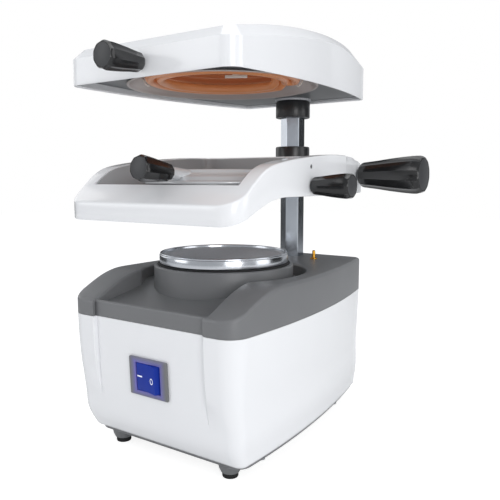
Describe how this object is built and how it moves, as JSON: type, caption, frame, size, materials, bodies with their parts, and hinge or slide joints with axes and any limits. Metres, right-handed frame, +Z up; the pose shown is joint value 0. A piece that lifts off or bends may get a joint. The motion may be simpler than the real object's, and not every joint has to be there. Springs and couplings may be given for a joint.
{
  "type": "dental_vacuum_former",
  "caption": "Bench-top dental vacuum former: white and grey base with chrome-rimmed forming chamber, hexagonal column, sliding sheet carriage with clamp ring, swinging heater head",
  "frame": {"origin": "on the counter, below the axis of the round forming chamber", "axes": "+X to the machine's right as its user faces it, +Y to its rear, +Z up"},
  "size_m": [0.2199, 0.2747, 0.3387],
  "materials": {
    "white_shell": "glossy injection-moulded white plastic",
    "grey_cover": "satin mid-grey moulded plastic",
    "dark_liner": "satin dark blue-grey plastic",
    "black_knob": "satin black faceted knob plastic with streaky highlights",
    "black_collar": "satin black acetal",
    "rubber_pad": "matt black rubber",
    "silicone_seal": "dark silicone",
    "chrome": "polished chrome plate",
    "polished_column": "polished hexagonal bar",
    "steel": "plain and galvanised steel",
    "aluminium": "cast and turned aluminium, satin",
    "mesh": "perforated sheet, grey",
    "copper_winding": "enamelled copper winding",
    "brass": "turned brass",
    "blue_rocker": "translucent blue plastic, lit from inside",
    "heater_glow": "heater tube glowing orange",
    "ceramic": "white ceramic"
  },
  "bodies": {
    "base": {"base_shell": "white_shell", "top_cover": "grey_cover", "bottom_plate": "grey_cover", "feet": "grey_cover", "foot_pads": "rubber_pad", "plate_screws": "steel", "chamber_bowl": "grey_cover", "chamber_seal": "silicone_seal", "rim_ring": "chrome", "perforated_plate": "mesh", "intake_gasket": "silicone_seal", "motor_mount": "rubber_pad", "motor_housing": "steel", "motor_bearings": "steel", "field_core": "steel", "field_coils": "copper_winding", "turbine_casing": "aluminium", "switch_bezel": "grey_cover", "switch_body": "black_collar", "pin_bush": "brass", "pin_spring": "steel", "pin_bracket": "steel", "micro_switch": "black_collar", "column": "polished_column", "column_socket": "aluminium", "column_bolt": "steel", "upper_collar": "black_collar", "mains_inlet": "black_collar", "fuse_holder": "black_collar", "inlet_screws": "steel"},
    "rotor": {"motor_armature": "steel", "fan_wheel": "aluminium"},
    "rocker": {"switch_rocker": "blue_rocker"},
    "pin": {"vacuum_pin": "brass"},
    "carriage": {"carriage_frame": "white_shell", "carriage_rear_cover": "white_shell", "carriage_liner": "dark_liner", "column_bush": "black_collar", "slide_block": "aluminium", "block_screws": "steel", "lower_sheet_ring": "aluminium", "sheet_seal": "silicone_seal", "clamp_hinge_pin": "chrome"},
    "column_lock": {"lock_handle": "black_knob", "lock_stud": "steel"},
    "side_lock": {"side_knob": "black_knob", "side_stud": "steel"},
    "clamp": {"clamp_ring": "aluminium", "clamp_rod": "aluminium", "clamp_knob": "black_knob"},
    "head": {"head_shell": "white_shell", "head_liner": "dark_liner", "reflector": "aluminium", "heater_tube": "heater_glow", "heater_clips": "steel", "terminal_block": "ceramic", "head_hub": "aluminium", "pivot_fastener": "steel", "head_knob": "black_knob", "head_stud": "steel"}
  },
  "joints": [
    {"name": "carriage_slide", "type": "slide", "parent": "base", "child": "carriage", "axis": [0, 0, 1], "range_m": [-0.0625, 0.027]},
    {"name": "head_swing", "type": "hinge", "parent": "base", "child": "head", "pos_m": [0, 0.115, 0.306], "axis": [0, 0, 1], "range_deg": [-100, 100]},
    {"name": "clamp_hinge", "type": "hinge", "parent": "carriage", "child": "clamp", "pos_m": [0, 0.065, 0.2239], "axis": [-1, 0, 0], "range_deg": [0, 9]},
    {"name": "column_lock_turn", "type": "hinge", "parent": "carriage", "child": "column_lock", "pos_m": [0.1, 0.115, 0.224], "axis": [1, 0, 0], "range_deg": [-180, 0]},
    {"name": "side_lock_turn", "type": "hinge", "parent": "carriage", "child": "side_lock", "pos_m": [0.09, 0, 0.215], "axis": [1, 0, 0], "range_deg": [-180, 0]},
    {"name": "switch_rock", "type": "hinge", "parent": "base", "child": "rocker", "pos_m": [0, -0.08942, 0.07218], "axis": [0, -0.046, 0.9989], "range_deg": [0, 20]},
    {"name": "pin_press", "type": "slide", "parent": "base", "child": "pin", "axis": [0, 0, -1], "range_m": [0, 0.003], "stiffness_N_per_m": 300, "springref_m": -0.002, "deforming": ["pin_spring"]},
    {"name": "rotor_spin", "type": "hinge", "parent": "base", "child": "rotor", "pos_m": [0, 0, 0.05], "axis": [0, 0, 1], "continuous": true}
  ]
}
